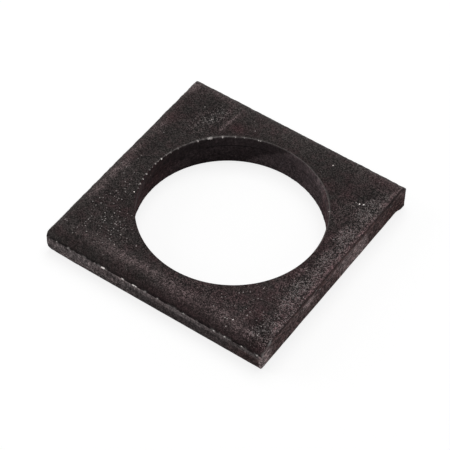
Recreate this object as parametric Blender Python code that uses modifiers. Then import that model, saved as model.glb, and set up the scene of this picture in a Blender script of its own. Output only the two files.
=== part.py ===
"""Square plate washer: a square of thick steel flat with a large punched hole.

The blank is cut on all four sides by shear blades and punched through the
middle. A blade first rolls the metal over, then shears a smooth land, and at
last breaks it off, so every cut face has a rolled edge, a land and a broken
zone. The front, back and left sides were cut from above and roll over at the
top. The right side was cut from below: its top edge is sharp, and it rolls
over at the foot. The hole was punched a little off the middle, and below its
land it broke out towards the front.

Metres, +Z up. The origin is the middle of the plate on its under face. The
front is -Y and the right is +X.
"""

import math
from collections import namedtuple

import bmesh
import bpy
from mathutils import Matrix, Vector

# The plate
SIDE_X = 0.060
SIDE_Y = 0.060
THICKNESS = 0.008

# The rounding of its four upright corners
RIGHT_BACK_RADIUS = 0.0002
LEFT_BACK_RADIUS = 0.0018
LEFT_FRONT_RADIUS = 0.0003
RIGHT_FRONT_RADIUS = 0.0004

# One cut face, measured in from the plate's side line and up from its under
# face: how far in and down the top edge rolls, where the land meets the
# broken zone and how far back it stands there, how far in and up the foot
# rolls, and how far back the face stands at its foot
CutFace = namedtuple(
    "CutFace", "top_reach top_drop break_height break_lean foot_reach foot_rise foot_lean")

FRONT = CutFace(top_reach=0.0042, top_drop=0.0031, break_height=0.0027, break_lean=0.0,
                foot_reach=0.0008, foot_rise=0.0003, foot_lean=0.00030)
BACK = CutFace(top_reach=0.0042, top_drop=0.0023, break_height=0.0032, break_lean=0.0,
               foot_reach=0.0014, foot_rise=0.0006, foot_lean=0.00020)
LEFT = CutFace(top_reach=0.0032, top_drop=0.0019, break_height=0.0030, break_lean=0.0,
               foot_reach=0.0050, foot_rise=0.0013, foot_lean=0.00010)
RIGHT = CutFace(top_reach=0.0, top_drop=0.0, break_height=0.0058, break_lean=0.00025,
                foot_reach=0.0014, foot_rise=0.0006, foot_lean=0.00025)

# A rolled edge leaves its cut face at this slope, holds it for a share of its
# drop, and runs out level over a share of its reach
ROLL_SLOPE = math.radians(63)
ROLL_HOLD = 0.60
ROLL_EASE = 0.55
ROLL_STEPS = 10

# The punched hole: the breaks at its two ends, its land, the step below the
# land, and how far the broken zone opens and leans over from there to the foot
HOLE_DIAMETER = 0.0446
HOLE_SHIFT_X = 0.0013
HOLE_SHIFT_Y = -0.0006
HOLE_LIP_WIDTH = 0.00025
HOLE_LIP_DEPTH = 0.00030
HOLE_LAND = 0.0025
HOLE_STEP = 0.00013
HOLE_OPENING = 0.00017
HOLE_LEAN_X = 0.00020
HOLE_LEAN_Y = -0.00083
HOLE_SIDES = 128

# How far a cutter reaches past what it cuts, and by how much the uncut blank
# is larger than the plate on each side
OVERRUN = 0.0020
BLANK_MARGIN = 0.0010
MERGE_DISTANCE = 0.000001
SHARP_ANGLE = math.radians(24)

# A quarter circle's curve handles, as a share of its radius
QUARTER_HANDLE = 4 / 3 * (math.sqrt(2) - 1)

SCALE_COLOUR = (0.032, 0.027, 0.025, 1.0)
SCALE_ROUGHNESS = 0.55
SCALE_METALLIC = 0.6

# A point of a closed outline with its curve handles; an outline runs straight
# where both ends of a stretch have none
Knot = namedtuple("Knot", "point before after", defaults=(None, None))


def clear_scene():
    """Remove the objects of the file that the script starts from."""
    for obj in list(bpy.data.objects):
        bpy.data.objects.remove(obj, do_unlink=True)


def new_collection(name):
    """Add a collection to the scene."""
    collection = bpy.data.collections.new(name)
    bpy.context.scene.collection.children.link(collection)
    return collection


def mill_scale():
    """Hot-rolled steel under a dark skin of mill scale."""
    material = bpy.data.materials.new("mill_scale")
    material.use_nodes = True
    shader = material.node_tree.nodes["Principled BSDF"]
    shader.inputs["Base Color"].default_value = SCALE_COLOUR
    shader.inputs["Roughness"].default_value = SCALE_ROUGHNESS
    shader.inputs["Metallic"].default_value = SCALE_METALLIC
    return material


def evaluated_mesh(obj):
    """The mesh of an object once its modifiers or its curve have been worked out."""
    bpy.context.view_layer.update()
    depsgraph = bpy.context.evaluated_depsgraph_get()
    return bpy.data.meshes.new_from_object(obj.evaluated_get(depsgraph))


def add_cutter(name, mesh, matrix, cutters):
    """A guide object that is subtracted from the plate and never shown."""
    cutter = bpy.data.objects.new(name, mesh)
    cutter.matrix_world = matrix
    cutter.hide_render = True
    cutter.display_type = "WIRE"
    cutters.objects.link(cutter)
    return cutter


def outline_cutter(name, knots, half_depth, matrix, cutters):
    """Extrude a flat outline both ways into a closed cutter."""
    curve = bpy.data.curves.new(name, "CURVE")
    curve.dimensions = "2D"
    curve.fill_mode = "BOTH"
    curve.extrude = half_depth
    spline = curve.splines.new("BEZIER")
    spline.resolution_u = ROLL_STEPS
    spline.use_cyclic_u = True
    spline.bezier_points.add(len(knots) - 1)
    for point, knot in zip(spline.bezier_points, knots):
        point.co = (*knot.point, 0)
        point.handle_left_type = "FREE" if knot.before else "VECTOR"
        point.handle_right_type = "FREE" if knot.after else "VECTOR"
        if knot.before:
            point.handle_left = (*knot.before, 0)
        if knot.after:
            point.handle_right = (*knot.after, 0)
    guide = bpy.data.objects.new(name, curve)
    guide.matrix_world = matrix
    cutters.objects.link(guide)
    mesh = evaluated_mesh(guide)
    bpy.data.objects.remove(guide, do_unlink=True)
    bpy.data.curves.remove(curve)
    shape = bmesh.new()
    shape.from_mesh(mesh)
    bmesh.ops.remove_doubles(shape, verts=shape.verts, dist=MERGE_DISTANCE)
    bmesh.ops.recalc_face_normals(shape, faces=shape.faces)
    shape.to_mesh(mesh)
    shape.free()
    return add_cutter(name, mesh, matrix, cutters)


def rolled_edge(lean, edge_height, reach, level):
    """From a cut face to the level face beside it, as two knots.

    The curve starts where the cut face ends, at edge_height and standing back
    by lean, and meets the level face at the distance reach from the side line.
    """
    rise = level - edge_height
    hold = Vector((-abs(rise) / math.tan(ROLL_SLOPE), rise)) * ROLL_HOLD
    ease = Vector((reach - lean, 0)) * ROLL_EASE
    edge = Vector((-lean, edge_height))
    end = Vector((-reach, level))
    return Knot(edge, after=edge + hold), Knot(end, before=end + ease)


def turned_round(knots):
    """The same stretch of outline, run the other way."""
    return [Knot(knot.point, knot.after, knot.before) for knot in reversed(knots)]


def cut_face_outline(face):
    """What a blade takes off a side; x points out of the plate and y is height."""
    above = THICKNESS + OVERRUN
    if face.top_drop > 0:
        top = turned_round(rolled_edge(0, THICKNESS - face.top_drop, face.top_reach, THICKNESS))
    else:
        top = [Knot(Vector((0, THICKNESS)))]
    foot = rolled_edge(face.foot_lean, face.foot_rise, face.foot_reach, 0)
    return [
        Knot(Vector((top[0].point.x, above))),
        *top,
        Knot(Vector((-face.break_lean, face.break_height))),
        *foot,
        Knot(Vector((-face.foot_reach, -OVERRUN))),
        Knot(Vector((OVERRUN, -OVERRUN))),
        Knot(Vector((OVERRUN, above))),
    ]


def corner_outline(radius):
    """What is lost outside a rounded upright corner, with the corner at the origin."""
    handle = radius * (1 - QUARTER_HANDLE)
    return [
        Knot(Vector((0, -radius)), after=Vector((0, -handle))),
        Knot(Vector((-radius, 0)), before=Vector((-handle, 0))),
        Knot(Vector((-radius, OVERRUN))),
        Knot(Vector((OVERRUN, OVERRUN))),
        Knot(Vector((OVERRUN, -radius))),
    ]


def hole_profile():
    """The punch's outline as radius and height, from the top of its axis to the foot."""
    land = HOLE_DIAMETER / 2
    broken = land + HOLE_STEP
    foot = broken + HOLE_OPENING
    land_top = THICKNESS - HOLE_LIP_DEPTH
    land_end = land_top - HOLE_LAND
    return [
        (0, THICKNESS + OVERRUN),
        (land + HOLE_LIP_WIDTH, THICKNESS + OVERRUN),
        (land + HOLE_LIP_WIDTH, THICKNESS),
        (land, land_top),
        (land, land_end),
        (broken, land_end - HOLE_STEP),
        (foot, HOLE_LIP_DEPTH),
        (foot + HOLE_LIP_WIDTH, 0),
        (foot + HOLE_LIP_WIDTH, -OVERRUN),
        (0, -OVERRUN),
    ]


def hole_cutter(cutters):
    """Turn the punch's outline about the hole's axis, then lean it over below the land."""
    profile = [(radius, 0, height) for radius, height in hole_profile()]
    edges = [(index, index + 1) for index in range(len(profile) - 1)]
    mesh = bpy.data.meshes.new("hole_cutter")
    mesh.from_pydata(profile, edges, [])
    place = Matrix.Translation((HOLE_SHIFT_X, HOLE_SHIFT_Y, 0))
    cutter = add_cutter("hole_cutter", mesh, place, cutters)
    screw = cutter.modifiers.new("turn", "SCREW")
    screw.steps = HOLE_SIDES
    screw.render_steps = HOLE_SIDES
    screw.use_merge_vertices = True
    screw.merge_threshold = MERGE_DISTANCE
    cutter.data = evaluated_mesh(cutter)
    cutter.modifiers.clear()
    lean_start = THICKNESS - HOLE_LIP_DEPTH - HOLE_LAND - HOLE_STEP
    for vertex in cutter.data.vertices:
        share = max(0, 1 - vertex.co.z / lean_start)
        vertex.co.x += share * HOLE_LEAN_X
        vertex.co.y += share * HOLE_LEAN_Y
    return cutter


def side_cutters(cutters):
    """One cutter for each of the four cut faces."""
    sides = {
        "right": (RIGHT, 0, SIDE_X, SIDE_Y),
        "back": (BACK, 90, SIDE_Y, SIDE_X),
        "left": (LEFT, 180, SIDE_X, SIDE_Y),
        "front": (FRONT, 270, SIDE_Y, SIDE_X),
    }
    upright = Matrix.Rotation(math.radians(90), 4, "X")
    made = []
    for name, (face, heading, across, along) in sides.items():
        outward = Matrix.Rotation(math.radians(heading), 4, "Z")
        matrix = outward @ Matrix.Translation((across / 2, 0, 0)) @ upright
        made.append(outline_cutter(
            f"{name}_blade", cut_face_outline(face), along / 2 + OVERRUN, matrix, cutters))
    return made


def corner_cutters(cutters):
    """One cutter for each upright corner."""
    corners = {
        "right_back": (RIGHT_BACK_RADIUS, 0, SIDE_X / 2, SIDE_Y / 2),
        "left_back": (LEFT_BACK_RADIUS, 90, -SIDE_X / 2, SIDE_Y / 2),
        "left_front": (LEFT_FRONT_RADIUS, 180, -SIDE_X / 2, -SIDE_Y / 2),
        "right_front": (RIGHT_FRONT_RADIUS, 270, SIDE_X / 2, -SIDE_Y / 2),
    }
    made = []
    for name, (radius, heading, x, y) in corners.items():
        outward = Matrix.Rotation(math.radians(heading), 4, "Z")
        matrix = Matrix.Translation((x, y, THICKNESS / 2)) @ outward
        made.append(outline_cutter(
            f"{name}_corner", corner_outline(radius), THICKNESS / 2 + OVERRUN, matrix, cutters))
    return made


def uncut_blank(collection):
    """The square blank before its sides are cut to size."""
    size = (SIDE_X + 2 * BLANK_MARGIN, SIDE_Y + 2 * BLANK_MARGIN, THICKNESS)
    place = Matrix.Translation((0, 0, THICKNESS / 2)) @ Matrix.Diagonal((*size, 1))
    mesh = bpy.data.meshes.new("square_washer")
    shape = bmesh.new()
    bmesh.ops.create_cube(shape, size=1, matrix=place)
    shape.to_mesh(mesh)
    shape.free()
    blank = bpy.data.objects.new("square_washer", mesh)
    collection.objects.link(blank)
    return blank


def square_washer(collection, cutters):
    """Cut the blank's sides and corners, punch the hole and shade the result."""
    washer = uncut_blank(collection)
    for cutter in [*side_cutters(cutters), *corner_cutters(cutters), hole_cutter(cutters)]:
        cut = washer.modifiers.new(cutter.name, "BOOLEAN")
        cut.operation = "DIFFERENCE"
        cut.solver = "EXACT"
        cut.object = cutter
    washer.data = evaluated_mesh(washer)
    washer.modifiers.clear()
    washer.data.shade_smooth()
    washer.data.set_sharp_from_angle(angle=SHARP_ANGLE)
    washer.data.materials.clear()
    washer.data.materials.append(mill_scale())
    return washer


def main():
    """Build the washer."""
    clear_scene()
    square_washer(new_collection("square_plate_washer"), new_collection("cutters"))


if __name__ == "__main__":
    main()
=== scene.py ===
"""Dresses the square plate washer for a studio view.

The washer is a square of hot-rolled steel flat, cut on four sides by shear
blades and punched through the middle. The plate is drawn as one closed skin
that runs from the rim of the hole over the top, down the cut sides, back
under the plate and up the bore. Burrs and loose scale are grown on it.

Lengths are metres, +Z is up, the front is -Y and the right is +X, as in the
frame.
"""

import math
from collections import namedtuple
from functools import partial

import bpy
import numpy as np
from bpy.props import FloatProperty, FloatVectorProperty, IntProperty, PointerProperty
from mathutils import Matrix, Vector, noise


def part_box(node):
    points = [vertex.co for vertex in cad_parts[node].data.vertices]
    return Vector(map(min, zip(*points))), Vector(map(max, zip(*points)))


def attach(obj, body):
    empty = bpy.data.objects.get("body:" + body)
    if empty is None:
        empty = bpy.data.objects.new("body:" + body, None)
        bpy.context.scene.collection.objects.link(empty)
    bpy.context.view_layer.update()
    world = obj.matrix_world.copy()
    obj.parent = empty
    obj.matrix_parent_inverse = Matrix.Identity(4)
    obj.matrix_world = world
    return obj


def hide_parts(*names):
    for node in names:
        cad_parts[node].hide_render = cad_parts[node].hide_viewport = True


bl_info = {
    "name": "Square Plate Washer",
    "version": (1, 0, 0),
    "blender": (4, 5, 0),
    "location": "View3D > Sidebar > Washer",
    "description": "Builds a sheared and punched square plate washer and its studio",
    "category": "Object",
}

MM = 0.001

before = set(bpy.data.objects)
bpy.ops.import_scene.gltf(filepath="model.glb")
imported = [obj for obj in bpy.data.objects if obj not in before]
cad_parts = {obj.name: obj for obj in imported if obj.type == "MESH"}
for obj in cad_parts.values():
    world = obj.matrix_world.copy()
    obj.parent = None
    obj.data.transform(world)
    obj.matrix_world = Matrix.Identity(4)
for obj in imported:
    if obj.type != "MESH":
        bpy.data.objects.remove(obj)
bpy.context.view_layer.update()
CAD_NODE = "square_washer"
BODY = "root"

PLATE_LOW, PLATE_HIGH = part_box(CAD_NODE)
HALF_SIDE = (PLATE_HIGH[0] - PLATE_LOW[0]) / 2
THICKNESS = PLATE_HIGH[2] - PLATE_LOW[2]


def light_of(level):
    """The light, as a share of white, behind sRGB levels out of 255."""
    part = np.maximum(np.asarray(level, dtype=float) / 255, 0)
    return np.where(part <= 0.04045, part / 12.92, ((part + 0.055) / 1.055) ** 2.4)


def linear(hex_colour):
    """An sRGB hex colour as linear red, green, blue and alpha."""
    return (*light_of([int(hex_colour[i : i + 2], 16) for i in (1, 3, 5)]).tolist(), 1)


# The plate's cut faces

# How far in and down the top edge rolls, where the smooth land meets the
# broken zone and how far back it stands there, and the same for the foot
CutFace = namedtuple(
    "CutFace",
    "outward top_reach top_drop break_height break_lean foot_reach foot_rise foot_lean")

FRONT = CutFace((0, -1), 4.2 * MM, 3.1 * MM, 2.7 * MM, 0, 0.8 * MM, 0.3 * MM, 0.3 * MM)
RIGHT = CutFace((1, 0), 0, 0, 5.8 * MM, 0.25 * MM, 1.4 * MM, 0.6 * MM, 0.25 * MM)
BACK = CutFace((0, 1), 4.2 * MM, 2.3 * MM, 3.2 * MM, 0, 1.4 * MM, 0.6 * MM, 0.2 * MM)
LEFT = CutFace((-1, 0), 3.2 * MM, 1.9 * MM, 3 * MM, 0, 5 * MM, 1.3 * MM, 0.1 * MM)
CUT_FACES = (FRONT, RIGHT, BACK, LEFT)

# The upright corners, counterclockwise from the one between front and right
CORNERS = (((1, -1), 0.4 * MM), ((1, 1), 0.2 * MM), ((-1, 1), 1.8 * MM), ((-1, -1), 0.1 * MM))

ROLL_SLOPE = math.radians(63)
ROLL_HOLD = 0.6
ROLL_EASE = 0.55

# The shelf that the blade leaves where the roll ends, and the ragged line of
# its edge
SHELF_WIDTH = 0.13 * MM
SHELF_RAGGED = 0.1 * MM
SHELF_SLOPE = 0.25
ARRIS_BREAK = 0.06 * MM

# The punched hole: the breaks at its two ends, its land, the step below the
# land, and how far the broken zone opens and leans over from there to the foot
LIP_WIDTH = 0.25 * MM
LIP_DEPTH = 0.3 * MM
BORE_LAND = 2.5 * MM
BORE_STEP = 0.13 * MM
BORE_OPENING = 0.17 * MM
BORE_LEAN = np.array([0.2, -0.83]) * MM

# The skin's rows and stations
SIDE_STATIONS = 190
CORNER_STATIONS = 8
CORNER_CROWDING = 0.35
FLAT_ROWS = 22
ROLL_ROWS = 20
ROLL_ZONE = 4.6 * MM
FACE_ROWS = 24
FOOT_ROWS = 11
FOOT_ZONE = 5.2 * MM
UNDER_ROWS = 10
BREAK_ROWS = 17
LAND_ROWS = 12
LIP_SHARES = (0.35, 0.7, 0.97)
SHARP_ANGLE = math.radians(32)

# How steeply rows crowd towards the side lines, and how round the hole's lip is
ROLL_CROWDING = 1.6
FOOT_CROWDING = 1.5
LIP_ROUNDNESS = 1.6

# Hot-rolled flat isn't dead level: the scale stands and dips by this much
SCALE_DIP = 0.035 * MM

# The level out of 255 that each surface shows at a tone of 1 in the stage's light
SCALE_LEVEL = 45.3
FRONT_LEVEL = 46
RIGHT_LEVEL = 58
BORE_LEVEL = 40
# The level given to the cut faces that the photo doesn't show
HIDDEN_LEVEL = 58

# Bright spots, painted as highlights on the shelf, the right side and the rim, and strung with
# beads of burr on the shelf, the top and the rim: along the front's shelf by place, width and
# strength, on the top and the right side by place, and round the hole's rim by bearing and strength
SHELF_GLINTS = (
    (-27, 0.25, 0.5), (-23.8, 0.22, 0.4), (-16.1, 0.25, 0.4), (-13.8, 0.65, 1),
    (-8.3, 0.3, 1.2), (-5.2, 0.35, 1.2), (-4.5, 0.3, 0.9), (-2, 0.25, 0.3),
    (1.5, 0.22, 0.5), (8.6, 0.25, 0.5), (16.9, 0.25, 0.7), (19.8, 0.35, 0.6),
    (24.4, 0.35, 0.5), (28.5, 0.25, 0.6))
TOP_GLINTS = ((-20, -9.6), (13, 24.4), (24.5, 17.9), (25.4, 18.3), (19.9, -26.9))
RIGHT_GLINTS = ((3.9, 3.2), (-6.6, 5.2), (-8.6, 6.9), (23.4, 5.4), (8, 4.9))
RIM_GLINTS = (
    (199.4, 0.3), (195.6, 0.6), (191.6, 0.5), (187.1, 0.6), (183.2, 0.34), (180.6, 0.28),
    (177.3, 0.52), (175, 0.3), (172.1, 0.7), (167.9, 0.28), (164.4, 0.36), (159, 0.26),
    (145.6, 0.56), (139, 0.4), (138, 0.6), (136.9, 0.55), (130.2, 0.6), (122.4, 0.34),
    (117, 0.26), (108.1, 0.44), (106.9, 0.46), (33.9, 0.4))


def lumps(points, size, seed=0, octaves=3):
    """Smooth random heights from about -1 to 1, in lumps of one size."""
    shift = Vector((seed, 1.7 * seed, -0.6 * seed))
    return np.array([
        noise.fractal(Vector(point) / size + shift, 1, 2, octaves) for point in points])


def along_lumps(distance, size, seed, octaves=3):
    """The same along a line."""
    flat = np.zeros((len(distance), 3))
    flat[:, 0] = distance
    return lumps(flat, size, seed, octaves)


def smooth(value, low, high):
    """0 as far as low, 1 from high on, and an even curve between, whichever way that runs."""
    share = np.clip((value - low) / (high - low), 0, 1)
    return share * share * (3 - 2 * share)


def near(value, middle, width):
    """1 at the middle, falling off to about a third at the width."""
    return np.exp(-(((value - middle) / width) ** 2))


def rolled_edge(lean, edge_height, reach, level):
    """Distances in from the side line, and the heights of the rolled edge there."""
    rise = level - edge_height
    knots = np.array([
        (lean, edge_height),
        (lean + ROLL_HOLD * abs(rise) / math.tan(ROLL_SLOPE), edge_height + ROLL_HOLD * rise),
        (reach - ROLL_EASE * (reach - lean), level),
        (reach, level)])
    step = np.linspace(0, 1, 65)[:, None]
    weights = np.hstack([
        (1 - step) ** 3, 3 * step * (1 - step) ** 2, 3 * step**2 * (1 - step), step**3])
    curve = weights @ knots
    return curve[:, 0], curve[:, 1]


def raised(points, height=0):
    """Points of the plan, lifted to a height."""
    return np.column_stack([points, np.broadcast_to(height, len(points))])


def heading(angle):
    """The direction across the plate at an angle, or at each of many."""
    return np.stack([np.cos(angle), np.sin(angle)], axis=-1)


def measured(points, face):
    """How far points lie in from a side line, and how far along it."""
    out_x, out_y = face.outward
    distance = HALF_SIDE - (points[:, 0] * out_x + points[:, 1] * out_y)
    along = points[:, 1] * out_x - points[:, 0] * out_y
    return distance, along


def outline_stations():
    """Points and outward directions round the plate's side lines, counterclockwise."""
    points, outwards = [], []
    half = np.array([HALF_SIDE, HALF_SIDE])
    share = np.arange(SIDE_STATIONS) / SIDE_STATIONS
    share = share - CORNER_CROWDING * np.sin(2 * math.pi * share) / (2 * math.pi)
    for index, (sign, radius) in enumerate(CORNERS):
        last_sign, last_radius = CORNERS[index - 1]
        turn = math.radians(90 * index - 90)
        outward = heading(turn)
        start = np.array(last_sign) * (half - last_radius) + last_radius * outward
        middle = np.array(sign) * (half - radius)
        end = middle + radius * outward
        points += [start + (end - start) * s for s in share]
        outwards += [outward] * SIDE_STATIONS
        for step in range(CORNER_STATIONS):
            direction = heading(turn + math.pi / 2 * step / CORNER_STATIONS)
            points.append(middle + radius * direction)
            outwards.append(direction)
    return np.array(points), np.array(outwards)


def drawn_in(outline, front, right, back, left):
    """The outline with each of its sides moved in."""
    span = 2 * HALF_SIDE
    x = left - HALF_SIDE + (outline[:, 0] + HALF_SIDE) / span * (span - left - right)
    y = front - HALF_SIDE + (outline[:, 1] + HALF_SIDE) / span * (span - front - back)
    return np.stack([x, y], axis=1)


def scale_dip(points, seed):
    """How far the scale dips at points of the plan."""
    return SCALE_DIP * np.clip(0.5 + 0.5 * lumps(raised(points), 7 * MM, seed, 4), 0, 1)


def top_height(points):
    """Height of the plate's upper skin: the scale's dips, and the rolled edges."""
    height = THICKNESS - scale_dip(points, 3.1)
    for number, face in enumerate(CUT_FACES):
        distance, along = measured(points, face)
        if face.top_drop == 0:
            ragged = ARRIS_BREAK * (1 + 0.5 * along_lumps(along, 1.1 * MM, 5))
            height = np.minimum(height, THICKNESS - np.clip(ragged - distance, 0, None))
            continue
        stretch = 1 + 0.1 * along_lumps(along, 11 * MM, 10 + number, 2)
        shelf = SHELF_WIDTH + SHELF_RAGGED * along_lumps(along, 1.3 * MM, 20 + number)
        shelf = np.clip(shelf, 0.01 * MM, None)
        edge = THICKNESS - face.top_drop + SHELF_RAGGED * (
            0.8 * along_lumps(along, 2.6 * MM, 30 + number)
            + 0.5 * along_lumps(along, 9 * MM, 40 + number))
        run, curve = rolled_edge(0, 0, face.top_reach, face.top_drop)
        into = (distance - (shelf - SHELF_WIDTH)) / stretch
        share = np.interp(into, run, curve / face.top_drop)
        roll = edge + (THICKNESS - edge) * share
        roll = np.where(distance < shelf, edge - SHELF_SLOPE * (shelf - distance), roll)
        height = np.minimum(height, roll)
    return height


def foot_kept(points):
    """How much of the rolled foot is left: none at the right back corner, which stayed square."""
    away = np.hypot(points[:, 0] - HALF_SIDE, points[:, 1] - HALF_SIDE)
    return smooth(away, 1.2 * MM, 3.6 * MM)


def under_height(points):
    """Height of the plate's under skin."""
    height = scale_dip(points, 8.3)
    kept = foot_kept(points) * (1 + 0.9 * smooth(points[:, 0], -22 * MM, -29 * MM))
    for number, face in enumerate(CUT_FACES):
        distance, along = measured(points, face)
        run, curve = rolled_edge(face.foot_lean, face.foot_rise, face.foot_reach, 0)
        ragged = 1 + 0.15 * along_lumps(along, 3 * MM, 50 + number)
        rise = kept if face is FRONT else foot_kept(points)
        height = np.maximum(height, ragged * rise * np.interp(distance, run, curve))
    return height


def face_relief(place, height, face, land_end):
    """How far the skin of a cut face stands back, and its share of broken metal."""
    distance, along = measured(place, face)
    spots = raised(place, height)
    broken = smooth(land_end - height, -0.12 * MM, 0.22 * MM)
    coarse = lumps(spots, 1.6 * MM, 61, 3)
    fine = lumps(spots, 0.55 * MM, 67, 2)
    torn = 0.055 * MM * coarse + 0.05 * MM * fine
    wave = 0.015 * MM * (1 + along_lumps(along, 2.2 * MM, 71, 2))
    return broken * torn + (1 - broken) * wave, broken


def ragged_break(along, face, number):
    """The height at which the land ends, station by station."""
    swing = 0.55 * MM * along_lumps(along, 9 * MM, 80 + number, 2)
    teeth = 0.22 * MM * along_lumps(along, 1.2 * MM, 90 + number, 3)
    return face.break_height + swing + teeth


def plate_skin(shape):
    """The plate as rows of stations: positions, and what each spot of the skin is made of."""
    outline, outwards = outline_stations()
    count = len(outline)
    hole = np.array([shape.hole_x, shape.hole_y])
    bearing = np.arctan2(outline[:, 1] - hole[1], outline[:, 0] - hole[0])
    spoke = heading(bearing)
    radius = shape.hole_diameter / 2
    rows = []

    def add_row(place, height, kind, broken=0):
        rows.append((raised(place, height), kind, np.broadcast_to(broken, count)))

    # Over the top, from the rim out to the side lines
    ring = raised(spoke * radius)
    rim = LIP_WIDTH * (1 + 0.15 * lumps(ring, 1.1 * MM, 2))
    rim_place = hole + spoke * (radius + rim)[:, None]
    zone = drawn_in(outline, *[ROLL_ZONE] * 4)
    for share in np.linspace(0, 1, FLAT_ROWS + 1)[:-1]:
        place = rim_place + (zone - rim_place) * share
        add_row(place, top_height(place), "top")
    rims = top_height(rim_place)
    for share in np.linspace(0, 1, ROLL_ROWS):
        place = drawn_in(outline, *[ROLL_ZONE * (1 - share) ** ROLL_CROWDING] * 4)
        height = top_height(place)
        add_row(place, height, "top")
    shoulder = height

    # Down the cut faces
    kept = foot_kept(outline)
    foot_place = drawn_in(outline, *(face.foot_lean * kept for face in CUT_FACES))
    foot = under_height(foot_place)
    for share in (0.01, *np.linspace(0, 1, FACE_ROWS + 1)[1:]):
        height = shoulder + (foot - shoulder) * share
        leans = [
            kept * np.interp(height, [face.foot_rise, face.break_height, face.break_height + MM],
                             [face.foot_lean, face.break_lean, 0]) for face in CUT_FACES]
        place = drawn_in(outline, *leans)
        stand_back = np.zeros(count)
        broken = np.zeros(count)
        for number, face in enumerate(CUT_FACES):
            turned_to = np.clip(outwards @ np.array(face.outward), 0, 1) ** 2
            distance, along = measured(outline, face)
            land_end = ragged_break(along, face, number)
            relief, part = face_relief(place, height, face, land_end)
            stand_back += turned_to * relief
            broken += turned_to * part
        fade = smooth(share, 0, 0.06) * smooth(share, 1, 0.94)
        place = place - outwards * (stand_back * fade)[:, None]
        add_row(np.clip(place, -HALF_SIDE, HALF_SIDE), height, "cut", broken)

    # Back under the plate to the foot of the bore
    for share in np.linspace(0, 1, FOOT_ROWS + 1)[1:]:
        inset = FOOT_ZONE * share**FOOT_CROWDING
        place = drawn_in(outline, *(face.foot_lean * kept + inset for face in CUT_FACES))
        add_row(place, under_height(place), "under")
    foot_rim = hole + BORE_LEAN + spoke * (radius + BORE_STEP + BORE_OPENING + LIP_WIDTH)
    inner = place
    for share in np.linspace(0, 1, UNDER_ROWS + 1)[1:]:
        place = inner + (foot_rim - inner) * share
        add_row(place, under_height(place), "under")

    # Up the bore
    land_top = THICKNESS - LIP_DEPTH
    land_low = land_top - BORE_LAND
    break_top = land_low - BORE_STEP
    land_end = land_low + 0.35 * MM * lumps(ring, 10 * MM, 15, 2)
    land_end += 0.1 * MM * lumps(ring, 1.4 * MM, 16)
    heights = np.concatenate([
        np.linspace(LIP_DEPTH, break_top, BREAK_ROWS), land_low + np.array([0, 0.1, 0.2]) * MM,
        np.linspace(land_low + 0.35 * MM, land_top, LAND_ROWS)])
    for height in heights:
        low = max(0, 1 - height / break_top)
        broken = smooth(land_end - height, -0.1 * MM, 0.15 * MM)
        spots = raised(spoke * radius, height)
        torn = 0.05 * MM * lumps(spots, 1 * MM, 18) + 0.04 * MM * lumps(spots, 0.6 * MM, 19, 2)
        away = broken * (BORE_STEP + torn) + BORE_OPENING * low
        place = hole + BORE_LEAN * low + spoke * (radius + away)[:, None]
        add_row(place, height, "bore", broken)
    # Over the lip, ending just short of where the top began
    for share in LIP_SHARES:
        place = hole + spoke * (radius + rim * share)[:, None]
        add_row(place, land_top + (rims - land_top) * share**LIP_ROUNDNESS, "bore")
    return rows


def patches(x, y, *spots):
    """A sum of soft spots, each by its place, its reach along x and y, and its strength."""
    return sum(
        strength * np.exp(-(((x - spot_x) / reach_x) ** 2) - ((y - spot_y) / reach_y) ** 2)
        for spot_x, spot_y, reach_x, reach_y, strength in spots)


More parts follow.
